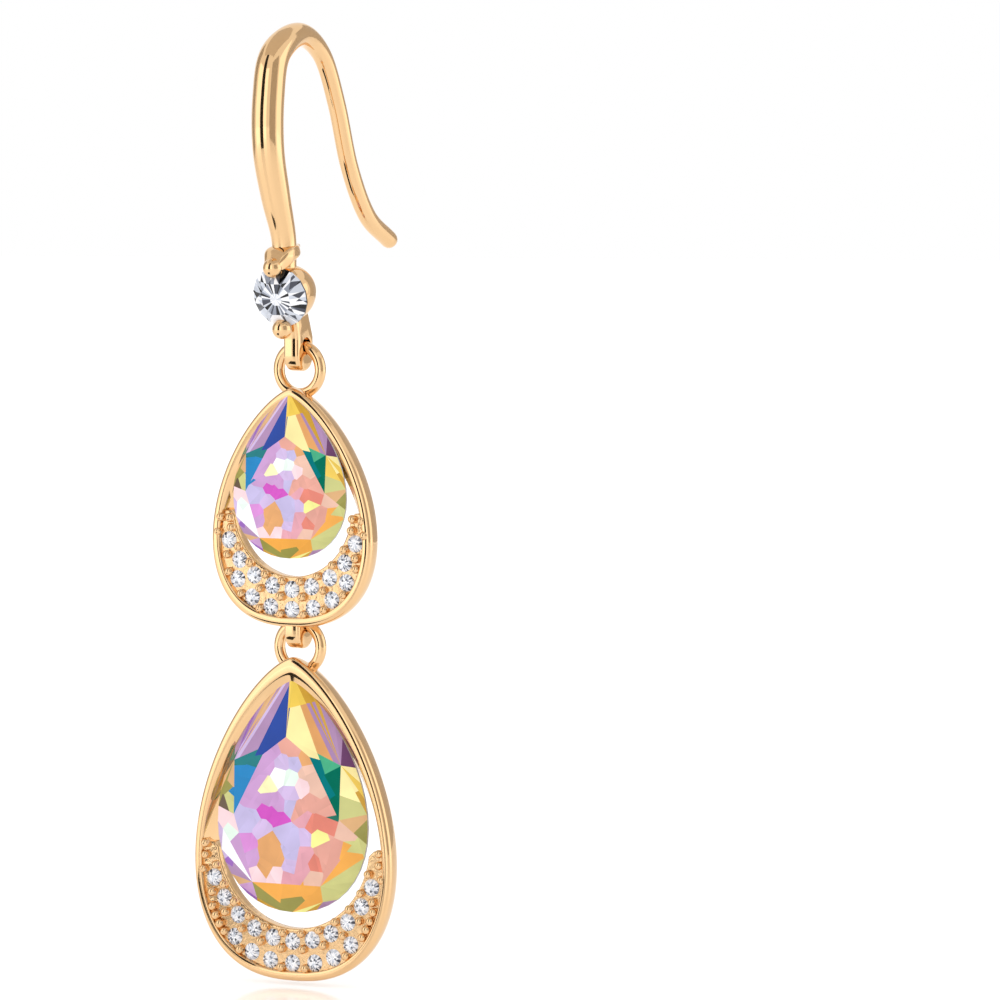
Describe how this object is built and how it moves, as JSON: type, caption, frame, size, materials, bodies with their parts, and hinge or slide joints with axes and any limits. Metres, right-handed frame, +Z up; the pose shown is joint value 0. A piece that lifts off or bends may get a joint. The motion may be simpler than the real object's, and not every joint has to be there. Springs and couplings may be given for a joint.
{
  "type": "drop earring",
  "caption": "Gold ear-wire earring with a round stone and two hanging teardrop frames, each with a pear-cut crystal and small pave stones",
  "frame": {"origin": "inside of the wire's arch, where the earring rests in the ear", "axes": "+Z up along the hanging earring, the stones face -Y, the ear wire lies in the YZ plane"},
  "size_m": [0.013, 0.015, 0.0548],
  "materials": {
    "gold": "polished light gold plate",
    "clear_stone": "faceted clear crystal",
    "rainbow_crystal": "faceted crystal with a rainbow coating"
  },
  "bodies": {
    "hook": {"ear_hook": "gold", "round_stone": "clear_stone"},
    "upper_drop": {"upper_frame": "gold", "upper_pear_stone": "rainbow_crystal", "upper_pave_01": "clear_stone", "upper_pave_02": "clear_stone", "upper_pave_03": "clear_stone", "upper_pave_04": "clear_stone", "upper_pave_05": "clear_stone", "upper_pave_06": "clear_stone", "upper_pave_07": "clear_stone", "upper_pave_08": "clear_stone", "upper_pave_09": "clear_stone", "upper_pave_10": "clear_stone", "upper_pave_11": "clear_stone", "upper_pave_12": "clear_stone", "upper_pave_13": "clear_stone", "upper_pave_14": "clear_stone", "upper_pave_15": "clear_stone", "upper_pave_16": "clear_stone"},
    "lower_drop": {"lower_frame": "gold", "lower_pear_stone": "rainbow_crystal", "lower_pave_01": "clear_stone", "lower_pave_02": "clear_stone", "lower_pave_03": "clear_stone", "lower_pave_04": "clear_stone", "lower_pave_05": "clear_stone", "lower_pave_06": "clear_stone", "lower_pave_07": "clear_stone", "lower_pave_08": "clear_stone", "lower_pave_09": "clear_stone", "lower_pave_10": "clear_stone", "lower_pave_11": "clear_stone", "lower_pave_12": "clear_stone", "lower_pave_13": "clear_stone", "lower_pave_14": "clear_stone", "lower_pave_15": "clear_stone", "lower_pave_16": "clear_stone", "lower_pave_17": "clear_stone", "lower_pave_18": "clear_stone"}
  },
  "joints": [
    {"name": "upper_swing", "type": "hinge", "parent": "hook", "child": "upper_drop", "pos_m": [0, 0, -0.01701], "axis": [1, 0, 0], "range_deg": [-60, 60]},
    {"name": "lower_swing", "type": "hinge", "parent": "upper_drop", "child": "lower_drop", "pos_m": [0, 0, -0.03287], "axis": [1, 0, 0], "range_deg": [-40, 60]}
  ]
}
